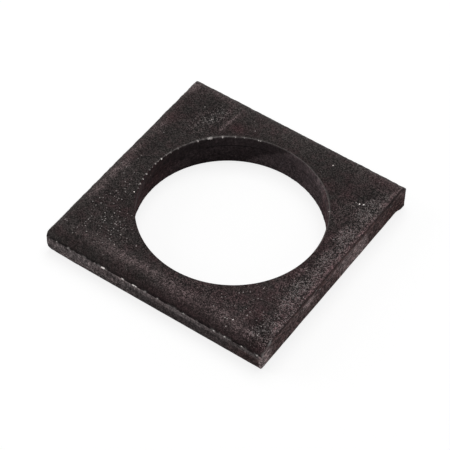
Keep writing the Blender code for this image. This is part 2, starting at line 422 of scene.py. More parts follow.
def painted_top(x, y, z, patchy, mottled):
    """The finish of the plate's flat sides, painted light and shade included, in millimetres. A
    level is a lightness out of 255.
    """
    drop = THICKNESS / MM - z
    warm = 0.16 + 0.48 * smooth(x - y, -14, 34) + 0.12 * smooth(x, 25, 28) + 0.7 * (patchy - 0.5)
    warm -= 0.22 * smooth(y, -14, -20) * smooth(x, 10, -2)

    # Painted shade: the rolled edges are painted darker as they steepen, least at the left
    # end of the front, with a painted dark line where the front's roll ends above its shelf.
    # The top is lighter towards the back, darker right at the back and right edges, and a
    # pale line is painted along the right edge as a highlight
    level = 46.5 + 1.5 * smooth(x, -4, 26) - 3 * smooth(x - y, -30, -6) * smooth(y - x, -30, -6)
    level += 3.5 * near(np.hypot(x - 22, y + 20), 0, 9) + 5 * (patchy - 0.5)
    steep = smooth(y, -25.5, -28) * smooth(drop, 0.5, 2.2)
    level -= steep * (4 + 8 * smooth(x, -12, 3) - 4 * smooth(x, -26, -29))
    low_roll = smooth(y, -27.5, -28.2)
    level += (9 * near(drop, 2, 0.5) - 17 * near(drop, 2.95, 0.3)) * low_roll
    level += 5 * near(drop, 2.4, 0.3) * low_roll * smooth(x, -12, -20)
    level += 7 * smooth(y, -25.5, -27.5) * smooth(x, -4, -9) * smooth(drop, 1.8, 0.8)
    level += smooth(x, 26, 27) + 4 * smooth(y, 22.5, 24.5) + 5 * smooth(y, 25.5, 27)
    level += 6 * smooth(x, -26.2, -27.6) - 20 * smooth(y, 29.3, 29.75)
    level += 17 * smooth(x, 28.6, 29.3) * smooth(y, -17, -9) - 12 * smooth(x, 29.86, 29.97)
    level += 8 * near(x, 29.6, 0.2) * smooth(y, -22, -18)
    level -= 5 * near(x, 27.2, 1.6) * smooth(y, -12, -5) * smooth(y, 24, 20)
    level += patches(
        x, y, (-20, 24, 3, 2.5, -7), (-17, 20.5, 4, 2.5, -7), (1, 25, 7, 2, 5),
        (-19.5, 19, 4, 4, -4), (26.5, -23, 2, 4, -7), (4, -26, 10, 1.5, -3), (-27.8, 28, 1.5, 2, 7),
        (-24.5, -21, 2.5, 2, 5), (-22, -26.5, 4.5, 1.2, 10), (-9, -26.6, 4, 1, 16),
        (4, -26.3, 3, 1.1, -9), (1, -28.5, 3, 0.8, 7), (15, -24, 4, 4, -6),
        (26.5, -25.5, 1.8, 2.6, -26), (26.5, -12, 1.5, 2.5, -12), (26.2, 20, 1.6, 3, -14),
        (22, 25.5, 4, 2, 5), (-28.5, -9, 1.2, 4.5, 5), (27.5, -6.5, 1.2, 2.5, 6),
        (-11.8, 20.9, 2.6, 2, 11), (-27, 14.6, 1.5, 3, 5), (29, -25, 0.7, 3, 10),
        (29, 24.5, 0.8, 2, 7))

    # Rust dust along the front, the left and the back, where they start to turn down; on the
    # left and back rolls it also stands in for a painted sheen
    turn = -26.2 - 1.3 * smooth(x, -6, 9)
    front = near(y, turn, 1.4) * smooth(x, -22, -14) * (0.35 + 0.75 * patchy)
    front *= 1 - 0.5 * near(x, 13, 4) - 0.8 * smooth(x, 22, 26.5)
    front += 0.2 * near(y, turn + 1.7, 1.5) * smooth(x, 4, 12) * smooth(x, 24, 20) * patchy
    front += 0.22 * near(y, -25.3, 1) * smooth(x, -10, -20) * mottled
    left = patches(
        x, y, (-27.4, -13.1, 1.2, 3.2, 0.8), (-27.6, -7.2, 1.1, 2, 0.75),
        (-26.9, -3.4, 1.3, 1.6, 0.7), (-27.9, 2, 1, 2.6, 0.45),
        (-27.4, 10.8, 1.3, 3.2, 0.42), (-28.5, 25.8, 0.9, 2.8, 0.7))
    back = near(y, 28, 1.3) * (0.05 + 0.35 * smooth(x, 14, 24))
    back += patches(x, y, (-22, 27.8, 3.6, 0.9, 0.45))
    # A thin streak of it lies behind the hole
    streak = near(x, -15 + 0.11 * (y - 18), 0.45) * smooth(y, 17, 18.5) * smooth(y, 27, 24.5)
    dust = front + left * (0.5 + 1.3 * mottled) + back * (0.3 + mottled) + 0.75 * streak

    # The scuffed band beside the right edge, and lesser rough places
    edge = x + 2.4 * (patchy - 0.5) + 1.4 * (mottled - 0.5) + 0.8 * smooth(y, -20, -27)
    band = smooth(edge, 24.4, 26.6) * (1 - 0.65 * smooth(x, 28.7, 29.4) * smooth(y, -15, -11))
    band *= smooth(y, -30, -27) * smooth(y, 26, 20) * (0.55 + 0.7 * patchy)
    lesser = patches(
        x, y, (22.4, 12.9, 2.4, 4, 0.4), (26.2, 6.3, 3, 2, 0.25),
        (24.2, 17.2, 2.2, 2.4, 0.5), (24.6, -12.5, 2.6, 3.6, 0.5),
        (16, -23.6, 7, 3, 0.45), (6, -24.6, 6, 2.4, 0.45),
        (-16, -21.5, 9, 4, 0.3), (-23, -8, 3, 9, 0.25))
    # The crackle runs up the plate, a little to the right
    up, across = 0.92 * (y - 19.7) + 0.4 * (x + 19), 0.92 * (x + 19) - 0.4 * (y - 19.7)
    crackle = patches(up, across, (0, 0, 6.2, 2.8, 1.08)) * (0.45 + 0.6 * mottled)
    scuff = 0.8 * band + crackle + 0.45 * lesser
    grain = 0.08 + 0.04 * smooth(x, 12, 18) + 0.8 * band + 0.6 * lesser + 0.4 * crackle
    grain = (grain + 0.04 * dust) * (1 - patches(x, y, (25.5, -26, 5, 3.5, 0.6)) - 0.3 * steep)
    speckle = 0.02 * patchy + 0.15 * band + patches(
        x, y, (-18.6, -20.8, 4.4, 4, 1.1), (-26, -26, 3.2, 2, 0.4),
        (-22, -11, 4, 7, 0.6), (25, 18, 1.4, 1.1, 0.85),
        (21, -23, 7, 5, 0.55), (25.5, -11.5, 2.5, 5, 0.45))

    # Redder, darker places
    rust = 0.12 * near(x, 29.3, 0.5) * smooth(y, -17, -10) * smooth(y, 24, 14)
    rust += 0.35 * steep * smooth(x, -14, -4) + patches(
        x, y, (-11.8, 20.9, 2.6, 2, 1), (23.8, 6.8, 1.2, 3.4, 0.45),
        (-27, 14.6, 1.5, 3, 0.7), (27, -3.6, 1.5, 2, 0.4), (25.5, 26.8, 5, 1.6, 0.6))
    # Coarse grain and strokes lighten a spot by themselves
    tone = light_of(level) / light_of(SCALE_LEVEL) / (1 + 0.35 * grain**2)
    return {
        "tone": tone, "dust": dust, "grain": grain, "speckle": speckle, "scuff": scuff,
        "rust": rust, "warm": warm}


def painted_cut(x, y, z, patchy, mottled):
    """Tone, rust and grain of the sheared faces, in millimetres."""
    # The front: grey and rough at its left end; further right the land stays
    # pale down to a ragged line, and the broken metal under it is dark
    land_low = 3.5 + 0.7 * smooth(x, -4, -13) + 0.9 * (patchy - 0.5)
    land = 69 + 4 * near(x, -7, 7) - 7 * smooth(x, 14, 24) + 7 * near(x, 4, 9)
    # A pale line is painted along the top of the land, under the shelf, as a highlight
    land += 12 * near(z, 4.75, 0.26) * smooth(x, -15, -12) * smooth(x, 19, 14)
    below = 46 + 13 * smooth(x, 0, -9) + 10 * smooth(x, -13, -20)
    on_front = below + (land - below) * smooth(z, land_low - 0.35, land_low + 0.35)
    # A pale strip is painted down the near corner as a highlight
    on_front += 22 * near(x, 29.5, 0.4) - 6 * smooth(x, -24, -28)
    on_front -= 16 * smooth(z, 4.2, 4.8) * smooth(x, -21, -26)
    on_front += patches(
        x, z, (-29.2, 2.6, 0.5, 1.2, 12), (-23, 3.4, 3.5, 0.8, 9), (-17, 3.7, 3, 0.5, 9),
        (-12.3, 3.4, 0.8, 0.5, -14), (-11, 3.6, 0.4, 0.5, -12), (15.5, 3.6, 0.7, 0.4, -10),
        (-4.5, 2.9, 1.2, 0.4, -8), (25.2, 4.5, 1.4, 0.5, 14), (26.2, 2.4, 1.4, 0.8, -12))

    # The right side: a dark land, a pale line along its foot, and pale patches in the break.
    # The break leans away from the light, and is painted lighter to make up for its shade
    in_break = smooth(z, 7.5, 6.6)
    on_right = 45 + 6 * smooth(y, -25, -28) - 4 * smooth(y, 12, 17) - 7 * smooth(y, 19, 23)
    on_right += 8 * in_break
    on_right += 7 * near(z, 7, 0.35) * smooth(y, -20, -14) * smooth(y, 14, 10)
    pale = smooth(y, 0.5, 3) * smooth(y, 14.5, 12.5) * smooth(z, 7.2 - 0.09 * y, 6.6 - 0.09 * y)
    on_right += pale * (22 + 5 * smooth(y, 7, 9))
    on_right += 24 * smooth(y, -25, -27.5) * smooth(z, 6.2, 4.2)
    on_right += patches(
        y, z, (-11.3, 5, 2.8, 1.3, 35), (-0.6, 4.9, 2.4, 0.9, 20), (-18, 5.6, 3, 0.6, 5),
        (-22, 4.2, 2.5, 1.2, -6), (-6.3, 6.4, 2.4, 0.9, -15), (5, 7.2, 3, 0.4, 9),
        (11, 6.5, 2.5, 0.5, -8), (19, 6.4, 4.5, 0.8, -9), (28, 6, 1.6, 1.6, 16),
        (-27.5, 7.2, 2.5, 0.8, -12), (0, 6.7, 3, 0.5, -5), (23, 6.8, 3, 0.5, -4))
    on_right *= 1 + 0.31 * in_break
    on_right -= 4 * smooth(z, 7.3, 7.8) + 16 * smooth(y, -25, -28) * smooth(z, 6, 7.2)
    on_right -= 7 * near(z, 6.6, 0.5) * smooth(y, 28, 24) * smooth(y, -26, -22)

    right = x > 29
    seen = np.where(right, on_right, np.where(y < -29, on_front, HIDDEN_LEVEL))
    tone = light_of(seen + 12 * (patchy - 0.5)) / light_of(
        np.where(right, RIGHT_LEVEL, FRONT_LEVEL))
    browned = np.clip(60 / on_right - 0.32, 0, 1) + 0.3 * smooth(z, 6, 7.5)
    rust = np.where(right, browned, 0.06 + 0.55 * smooth(x, 18, 26) * smooth(z, 4, 3))
    grain = np.where(right, 0.55 + 0.5 * mottled, 0.55 + 0.45 * smooth(x, -2, -14))
    return tone, rust + 0.3 * (patchy - 0.5), grain


def painted_bore(bearing, z, patchy, mottled):
    """Tone, rust and grain of the bore by compass bearing: nearly black on its far side."""
    on_land = smooth(z, 4.9, 5.5)
    # Painted light and shade: lit up to a bearing that slants with height, shaded beyond it
    lit = smooth(112.5 - 4 * (z - 1.5) - bearing, -2.5, 3)
    dark = 28.5 - on_land * (0.5 + 4 * smooth(bearing, 128, 146))
    dark += 7 * smooth(bearing, 142, 158) * smooth(z, 4.4, 2.4)
    level = dark + (44 - dark) * lit + 9 * smooth(bearing, 178, 200)
    level += on_land * (
        7 * smooth(bearing, 76, 68) - 11 * smooth(bearing, 50, 46) - 5 * near(bearing, 63, 1.5))
    level += 5 * near(bearing, 66, 6) * smooth(z, 4.8, 4.2)
    level += 5 * near(z, 6.7, 0.7) * smooth(bearing, 104, 110) * smooth(bearing, 138, 130)
    # Spots, and a painted shadow with painted highlights beside it along the fine steps that
    # run round where the land ends
    level -= 17 * near(z, 5.2, 0.15) * smooth(bearing, 95, 99) * smooth(bearing, 147, 140)
    level += patches(
        bearing, z, (50, 5, 2, 1.6, 8), (160, 2.4, 8, 0.8, 4), (132, 4.2, 16, 0.8, 3),
        (121, 4.85, 11, 0.15, 8), (122, 5.55, 16, 0.18, 6), (67, 5.62, 5, 0.14, -14),
        (86, 5.5, 7, 0.14, -12), (65, 7, 6, 0.14, -7), (122, 6.4, 9, 0.12, -4))
    rust = 0.25 + 0.6 * smooth(bearing, 58, 46) + 0.7 * smooth(bearing, 150, 180)
    tone = light_of(level + 5 * (patchy - 0.5)) / light_of(BORE_LEVEL)
    return tone, rust, 0.1 + 0.3 * mottled + 0.45 * smooth(bearing, 70, 50)


def painted(points, kinds, broken, hole):
    """The finish of each spot of the skin, painted light and shade included, as shares from 0 to 1;
    tones may pass 1.
    """
    x, y, z = points.T / MM
    patchy = 0.5 + 0.5 * lumps(points, 3.2 * MM, 101, 4)
    mottled = 0.5 + 0.5 * lumps(points, 1.1 * MM, 103, 3)
    shares = painted_top(x, y, z, patchy, mottled)
    rim_x, rim_y = x - hole[0] / MM, y - hole[1] / MM
    bearing = np.degrees(np.arctan2(rim_y, rim_x)) % 360
    for kind, paint in (
        ("cut", painted_cut(x, y, z, patchy, mottled)),
        ("bore", painted_bore(bearing, z, patchy, mottled)),
    ):
        for name, values in zip(("tone", "rust", "grain"), paint):
            shares[name] = np.where(kinds == kind, values, shares[name])
    shares["broken"] = broken
    shares["violet"] = 0.2 * (kinds == "bore")

    # Worn bright, with painted highlights: the right side's edge, the front's shelf, the
    # near corner and the rim are painted near white where they glint
    arris = patches(y, z, *((*spot, 0.22, 0.16, 0.6) for spot in RIGHT_GLINTS)) * (x > 29.3)
    shelf = 0.2 * near(z, 4.85, 0.16) * smooth(y, -29.6, -29.8) * smooth(mottled, 0.45, 0.75)
    shelf += smooth(y, -29.8, -29.9) * patches(
        x, z, *((spot, 4.7, width, 0.14, 0.7 * strength) for spot, width, strength in SHELF_GLINTS))
    corner = 0.5 * near(np.hypot(x - 30, y + 30), 0, 0.5) * smooth(z, 3, 5)
    corner += 0.45 * near(x, 30, 0.12) * smooth(y, -26, -27.5) * smooth(z, 4.6, 5)
    rim = 0.14 * (1 + smooth(bearing, 95, 125) * smooth(mottled, 0.35, 0.7))
    rim = rim * smooth(bearing, 182, 166) + sum(
        1.3 * strength * near(bearing, spot, 0.5) for spot, strength in RIM_GLINTS)
    rim *= smooth(z, 7.8, 7.97) * near(np.hypot(rim_x, rim_y), 22.5, 0.14)
    shares["wear"] = arris + shelf + corner * mottled + rim * (rim_y - 0.6 * rim_x > -16)
    return shares


# Nodes

MATH = "ShaderNodeMath"
MIX = "ShaderNodeMix"
NOISE = "ShaderNodeTexNoise"
RAMP = "ShaderNodeMapRange"
VECTOR = "ShaderNodeVectorMath"
TIMES = {"operation": "MULTIPLY"}
RGBA = {"data_type": "RGBA"}


def fill(node, *values):
    """Fill a node's inputs in their order, then by name from a dictionary at the end.

    A node among the values stands for its first output.
    """
    sockets = [socket for socket in node.inputs if socket.enabled]
    named = values[-1] if values and isinstance(values[-1], dict) else {}
    pairs = list(zip(sockets, values[:-1] if named else values))
    pairs += [
        (next(socket for socket in sockets if socket.name == name), value)
        for name, value in named.items()]
    for socket, value in pairs:
        if isinstance(value, bpy.types.Node):
            value = next(output for output in value.outputs if output.enabled)
        if isinstance(value, bpy.types.NodeSocket):
            node.id_data.links.new(value, socket)
        else:
            socket.default_value = value
    return node


def add_node(tree, kind, *values, **settings):
    """Add a node, apply its settings and fill its inputs."""
    node = tree.nodes.new(kind)
    for name, value in settings.items():
        setattr(node, name, value)
    return fill(node, *values)


def new_material(name):
    """A node material, what adds nodes to it, its shader, and a point in object space."""
    material = bpy.data.materials.new(name)
    material.use_nodes = True
    add = partial(add_node, material.node_tree)
    place = add("ShaderNodeTexCoord").outputs["Object"]
    return material, add, material.node_tree.nodes["Principled BSDF"], place


def painted_shares(add, names):
    """The shares painted on the mesh under these names."""
    return [
        add("ShaderNodeAttribute", attribute_name=name).outputs["Fac"] for name in names.split()]


def grit_lots(add, place):
    """A random share for each grain of a sandy surface.

    The grains are 0.1 mm across in truth, and are drawn at 0.2 mm to show.
    """
    grains = add("ShaderNodeTexVoronoi", place, 1 / (0.2 * MM))
    return add("ShaderNodeSeparateColor", grains.outputs["Color"])


def grained(add, colour, figure, reach, grain, ratios):
    """A colour made lighter and darker by a figure, by a ratio that widens with the grain."""
    swing = add(RAMP, figure, *reach, -1, 1)
    ratio = add(RAMP, grain, 0, 1, *ratios)
    shade = add(MATH, ratio, swing, operation="POWER")
    return add(VECTOR, colour, shade, operation="SCALE")


def bright_wear_and_glints(add, colour, figure, low, wear, finish):
    """A colour worn through to bare steel and lit by painted highlights, in spots of a figure."""
    bright_share = add(MATH, add(RAMP, figure, low, 0.5), wear, **TIMES, use_clamp=True)
    return add(MIX, bright_share, colour, finish.bare_steel_and_glints, **RGBA)


def mill_scale(finish):
    """Mill scale: the blue-black oxide skin that hot rolling leaves on steel flat.

    To the eye it is a dull, near-black brown with a fine sandy grain. It has
    hardly any sheen, is paler where it is scuffed, dusted or lifting, and it
    wears through to bright steel along a sharp edge. Its tone carries painted
    light and shade, painted highlights take the bare steel's colour, and a
    painted sheen on the left and back rolls takes the dust's.
    """
    material, add, shader, place = new_material("mill_scale")
    tone, dust, grain, speckle, scuff, rust, warm, wear = painted_shares(
        add, "tone dust grain speckle scuff rust warm wear")
    cloud = add(NOISE, place, 1 / (5 * MM), 6, 0.62)
    mottle = add(NOISE, place, 1 / (1.5 * MM), 3, 0.6)
    coarse = add(NOISE, place, 1 / (0.75 * MM), 2, 0.5)
    grit = grit_lots(add, place)

    # Colour: cool to warm, then rust and dust
    clouded = add(MIX, 0.4, cloud, mottle)
    hue = add(
        MATH, add(RAMP, clouded, 0.35, 0.65, -0.5, 0.5), warm, operation="ADD", use_clamp=True)
    skin = add(MIX, hue, finish.scale_cool, finish.scale_warm, **RGBA)
    rusted = add(MIX, rust, skin, linear("#332526"), **RGBA)
    toned = add(VECTOR, rusted, tone, operation="SCALE")
    # Dust, and the painted sheen on the left and back rolls, in the dust's colour
    dust_and_sheen_share = add(MATH, add(RAMP, mottle, 0.32, 0.62, 0.3, 0.95), dust, **TIMES)
    dusted = add(MIX, dust_and_sheen_share, toned, finish.dust, **RGBA)
    sandy = grained(add, dusted, add(MIX, 0.2, grit, coarse), (0.18, 0.82), grain, (1.7, 8))

    # White specks: one in each cell of a random net, kept by its own lot
    specks = add("ShaderNodeTexVoronoi", place, 1 / (0.62 * MM), voronoi_dimensions="2D")
    lot, width, strength = add("ShaderNodeSeparateColor", specks.outputs["Color"]).outputs
    dot = add(MATH, specks, add(RAMP, width, 0, 1, 0.1, 0.23), operation="LESS_THAN")
    kept = add(MATH, lot, add(MATH, speckle, 0.4, **TIMES), operation="LESS_THAN")
    bright = add(RAMP, strength, 0, 1, 0.2, 1)
    speck = add(MATH, add(MATH, dot, kept, **TIMES), bright, **TIMES)

    # Pale strokes: thin crests of a noise, broken up by the grit. Scuffs run a
    # little off the plate's own direction
    dragged = add("ShaderNodeMapping", place, {
        "Rotation": (0, 0, math.radians(-19)), "Scale": (2, 1, 1)}, vector_type="TEXTURE")
    strokes = add(NOISE, dragged, 1 / (0.34 * MM), 1, {"Distortion": 0.6})
    thin = add(MATH, strokes, 0.5, 0.06, operation="COMPARE")
    broken_up = add(MIX, 0.6, grit, coarse)
    shut = add(RAMP, scuff, 0, 1, 0.82, 0.38)
    open_here = add(RAMP, add(MATH, broken_up, shut, operation="SUBTRACT"), -0.05, 0.15)
    crest = add(RAMP, thin, 0, 1, 0, 0.38)
    stroke = add(MATH, crest, open_here, **TIMES)
    haze = add(MATH, add(MATH, grain, mottle, **TIMES), 0.07, **TIMES)
    marks = add(MATH, speck, stroke, operation="MAXIMUM")
    pale = add(MATH, marks, haze, operation="MAXIMUM", use_clamp=True)
    tinted = add(MIX, width, linear("#b3afad"), finish.speck, **RGBA)
    specked = add(MIX, pale, sandy, tinted, **RGBA)

    # The skin's dimples are 10 to 20 microns deep, and are drawn at 50 to show
    bump = add("ShaderNodeBump", {"Distance": 0.05 * MM, "Height": coarse})
    # Worn spots and painted highlights go on in bare steel's colour
    fill(shader, {
        "Base Color": bright_wear_and_glints(add, specked, coarse, 0.25, wear, finish),
        "Roughness": add(RAMP, coarse, 0.3, 0.7, 0.5, 0.75), "Specular IOR Level": 0.05,
        "Normal": bump})
    return material


def sheared_steel(finish):
    """Sheared steel: hot-rolled steel cut cold by a blade, then left to brown.

    The land is rubbed smooth and drawn in fine upright lines. Below it the
    metal has torn, and the coarse grey-brown break has started to rust.
    """
    material, add, shader, place = new_material("sheared_steel")
    tone, grain, broken, rust, wear, violet = painted_shares(
        add, "tone grain broken rust wear violet")
    drawn = add("ShaderNodeMapping", place, {"Scale": (1, 0.5, 0.4)})
    lines = add(NOISE, drawn, 1 / (0.45 * MM), 2, 0.6)
    dragged = add("ShaderNodeMapping", place, {"Scale": (1, 0.5, 1)})
    torn = add(NOISE, dragged, 1 / (0.42 * MM), 2, 0.6)
    blotch = add(NOISE, place, 1 / (1.3 * MM), 4, 0.62)

    blotched = add(RAMP, blotch, 0.35, 0.65, 0.55, 1.25)
    browned = add(MATH, rust, blotched, **TIMES, use_clamp=True)
    body = add(MIX, browned, finish.cut_grey, finish.cut_rust, **RGBA)
    tinted = add(MIX, violet, body, linear("#443a42"), **RGBA)
    toned = add(VECTOR, tinted, tone, operation="SCALE")

    # Light and dark: upright lines on the land, torn grain in the break
    figure = add(MIX, add(RAMP, broken, 0, 1, 0.45, 0.95), lines, torn)
    mixed = add(MIX, 0.3, figure, blotch)
    gritty = add(MIX, 0.12, mixed, grit_lots(add, place))
    shaded = grained(add, toned, gritty, (0.34, 0.66), grain, (1.3, 4.4))

    # Tears are 50 to 100 microns deep, and a film of rust takes nearly all the shine
    bump = add("ShaderNodeBump", {"Distance": 0.09 * MM, "Height": mixed})
    # Worn spots and painted highlights go on in bare steel's colour
    fill(shader, {
        "Base Color": bright_wear_and_glints(add, shaded, torn, 0.2, wear, finish),
        "Roughness": add(RAMP, broken, 0, 1, 0.6, 0.8), "Specular IOR Level": 0.01,
        "Normal": bump})
    return material


def burr_steel(finish):
    """Bare steel: the bright torn metal of a fresh burr, with a breath of rust."""
    material, add, shader, place = new_material("burr_steel")
    stain = add(RAMP, add(NOISE, place, 1 / (1.5 * MM), 2), 0.5, 0.8)
    colour = add(MIX, stain, finish.bare_steel_and_glints, linear("#8a7068"), **RGBA)
    fill(shader, {"Base Color": colour, "Metallic": 1, "Roughness": 0.3})
    return material


def scale_dust(finish):
    """Scale dust: grey flakes and grit rubbed off the skin, lying dull on it."""
    material, add, shader, place = new_material("scale_dust")
    shade = add(RAMP, add(NOISE, place, 1 / (1.1 * MM), 2), 0.35, 0.65)
    colour = add(MIX, shade, linear("#4d4442"), finish.flake, **RGBA)
    fill(shader, {"Base Color": colour, "Roughness": 0.75, "Specular IOR Level": 0.3})
    return material


# Growing things on the plate

def start_tree(name, inputs):
    """A geometry tree with named inputs; returns it, what adds its nodes, and the inputs."""
    tree = bpy.data.node_groups.new(name, "GeometryNodeTree")
    for label, kind in (("Geometry", "Geometry"), *inputs, ("Material", "Material")):
        tree.interface.new_socket(label, in_out="INPUT", socket_type="NodeSocket" + kind)
    tree.interface.new_socket("Geometry", in_out="OUTPUT", socket_type="NodeSocketGeometry")
    add = partial(add_node, tree)
    return tree, add, add("NodeGroupInput").outputs


def finish_tree(add, instances, given):
    """Make the instances real, give them their material, and end the tree."""
    real = add("GeometryNodeRealizeInstances", instances)
    dressed = add("GeometryNodeSetMaterial", real, {"Material": given["Material"]})
    add("NodeGroupOutput", dressed)


def burr_row_tree():
    """Beads of torn metal strung on a curve's points, each as large as the curve's radius there."""
    tree, add, given = start_tree("burr_row", (
        ("Bead Size", "Float"), ("Stretch", "Float"), ("Scatter", "Float"), ("Seed", "Int")))
    row = add("GeometryNodeCurveToPoints", given["Geometry"], mode="EVALUATED")
    offset = add("FunctionNodeRandomValue", (-1, -1, -1), (1, 1, 1), {
        "Seed": given["Seed"]}, data_type="FLOAT_VECTOR")
    moved = add(VECTOR, offset, given["Scatter"], operation="SCALE")
    placed = add("GeometryNodeSetPosition", row, {"Offset": moved})
    bead = add("GeometryNodeMeshIcoSphere", given["Bead Size"], 2)
    longer = add("ShaderNodeCombineXYZ", 1, 1, given["Stretch"])
    shaped = add("GeometryNodeTransform", bead, {"Scale": longer})
    beads = add("GeometryNodeInstanceOnPoints", placed, {
        "Instance": shaped, "Rotation": row.outputs["Rotation"],
        "Scale": add("GeometryNodeInputRadius")})
    finish_tree(add, beads, given)
    return tree


def flake_tree():
    """Flakes lying on a surface, thickest where the surface's own share says."""
    tree, add, given = start_tree("loose_flakes", (
        ("Share Name", "String"), ("Flakes per Square Metre", "Float"), ("Flake Size", "Float"),
        ("Flake Length", "Float"), ("Flake Thickness", "Float"), ("Seed", "Int")))
    seed = given["Seed"]
    share = add("GeometryNodeInputNamedAttribute", given["Share Name"])
    density = add(MATH, share, given["Flakes per Square Metre"], **TIMES)
    points = add("GeometryNodeDistributePointsOnFaces", given["Geometry"], {
        "Density": density, "Seed": seed})
    turn = add("FunctionNodeRandomValue", (0, 0, 0), (0.3, 0.3, 6.28), {
        "Seed": seed}, data_type="FLOAT_VECTOR")
    laid = add(
        "FunctionNodeRotateRotation", points.outputs["Rotation"], turn, rotation_space="LOCAL")
    flake = add("GeometryNodeMeshIcoSphere", given["Flake Size"], 1)
    form = add("ShaderNodeCombineXYZ", given["Flake Length"], 1, given["Flake Thickness"])
    shaped = add("GeometryNodeTransform", flake, {"Scale": form})
    size = add("FunctionNodeRandomValue", 0.4, 1, {"Seed": seed})
    flakes = add("GeometryNodeInstanceOnPoints", points, {
        "Instance": shaped, "Rotation": laid, "Scale": size})
    finish_tree(add, flakes, given)
    return tree


def link_object(name, data):
    """An object in the scene that holds a mesh or a curve."""
    obj = bpy.data.objects.new(name, data)
    bpy.context.scene.collection.objects.link(obj)
    return obj


def path(name, points, radii):
    """A curve through points, with a radius at each, for a tree to work along."""
    curve = bpy.data.curves.new(name, "CURVE")
    curve.dimensions = "3D"
    spline = curve.splines.new("POLY")
    spline.points.add(len(points) - 1)
    for spot, point, radius in zip(spline.points, points, radii):
        spot.co = (*point, 1)
        spot.radius = radius
    return link_object(name, curve)


def grow(name, base, tree, values):
    """Run a tree on a base object, and keep what it makes as a plain mesh in its place."""
    modifier = base.modifiers.new("grow", "NODES")
    modifier.node_group = tree
    for socket in tree.interface.items_tree:
        if socket.in_out == "INPUT" and socket.name in values:
            modifier[socket.identifier] = values[socket.name]
    bpy.context.view_layer.update()
    depsgraph = bpy.context.evaluated_depsgraph_get()
    mesh = bpy.data.meshes.new_from_object(base.evaluated_get(depsgraph))
    base.modifiers.remove(modifier)
    bpy.data.objects.remove(base, do_unlink=True)
    if not mesh.polygons:
        raise RuntimeError(f"{name} has no faces")
    # Whatever stands proud has been rubbed flush with the plate
    for vertex in mesh.vertices:
        vertex.co = np.clip(vertex.co, PLATE_LOW, PLATE_HIGH)
    return link_object(name, mesh)


def keep(obj, *replaced):
    """Fix a finished piece to its body, and hide the parts it stands for."""
    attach(obj, BODY)
    if replaced:
        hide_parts(*replaced)


# What a user would change

Length = partial(FloatProperty, unit="LENGTH", precision=5)
Angle = partial(FloatProperty, subtype="ANGLE")
Power = partial(FloatProperty, unit="POWER")
Colour = partial(FloatVectorProperty, subtype="COLOR", size=4)


class WasherShape(bpy.types.PropertyGroup):
    hole_diameter: Length(
        name="Hole Diameter", description="Across the punched hole's land",
        default=44.6 * MM, min=10 * MM)
    hole_x: Length(
        name="Hole Offset X", description="How far right of the middle the hole was punched",
        default=1.3 * MM)
    hole_y: Length(
        name="Hole Offset Y", description="How far behind the middle the hole was punched",
        default=-0.6 * MM)
    bead_size: Length(
        name="Burr Size", description="Radius of the largest bead of burr", default=0.2 * MM)
    flake_size: Length(
        name="Flake Size", description="Radius of the largest flake of loose scale",
        default=0.11 * MM)
    seed: IntProperty(name="Seed", description="Chooses how burrs and flakes fall", default=4)


class WasherFinish(bpy.types.PropertyGroup):
    scale_cool: Colour(
        name="Scale, Cool", description="Sound mill scale, a neutral grey black",
        default=linear("#312d2c"))
    scale_warm: Colour(
        name="Scale, Warm", description="Mill scale that has begun to brown",
        default=linear("#372a2b"))
    speck: Colour(
        name="Specks", description="Scuffed grains of the scale", default=linear("#c6bebb"))
    # Also the colour of the painted sheen on the left and back rolls
    dust: Colour(
        name="Dust", description="Rust dust along the rolled edges", default=linear("#675a5a"))
    cut_grey: Colour(
        name="Cut, Grey", description="The cut faces where the steel still shows grey",
        default=linear("#423d3d"))
    cut_rust: Colour(
        name="Cut, Rusted", description="The cut faces where they have browned",
        default=linear("#4b3938"))
    # Also the colour of the painted highlights
    bare_steel_and_glints: Colour(
        name="Bare Steel", description="Steel worn or torn bright", default=linear("#e6dfdc"))
    flake: Colour(
        name="Flakes", description="Loose grit and scale on the plate",
        default=linear("#8f8481"))


class WasherStage(bpy.types.PropertyGroup):
    lens: FloatProperty(
        name="Lens", description="Focal length of the camera in millimetres", default=167.36)
    distance: Length(
        name="Distance", description="From the camera to the plate", default=483.1 * MM)
    azimuth: Angle(
        name="Azimuth", description="How far round to the right the camera stands",
        default=math.radians(33.526))
    elevation: Angle(
        name="Elevation", description="How high the camera stands",
        default=math.radians(49.748))
    roll: Angle(
        name="Roll", description="How far the camera is tipped over",
        default=math.radians(1.753))
    overhead: Power(
        name="Overhead Light", description="Power of the soft light over the plate", default=1.7)
    side_light: Power(
        name="Side Light", description="Power of the soft light from the left", default=0.5)
    floor_colour: Colour(
        name="Floor", description="The pale floor under the plate", default=linear("#ebebeb"))


# Where the camera looks, from the middle of the plate's top face: right and up
# in the picture
AIM_RIGHT = -0.812 * MM
AIM_UP = -4.71 * MM
FLOOR_SIZE = 3
# The soft lights: how wide each is, and where it stands
LAMPS = {
    "overhead_light": (0.45, (-0.06, 0.22, 0.6)), "side_light": (0.3, (-0.5, -0.2, 0.32))}


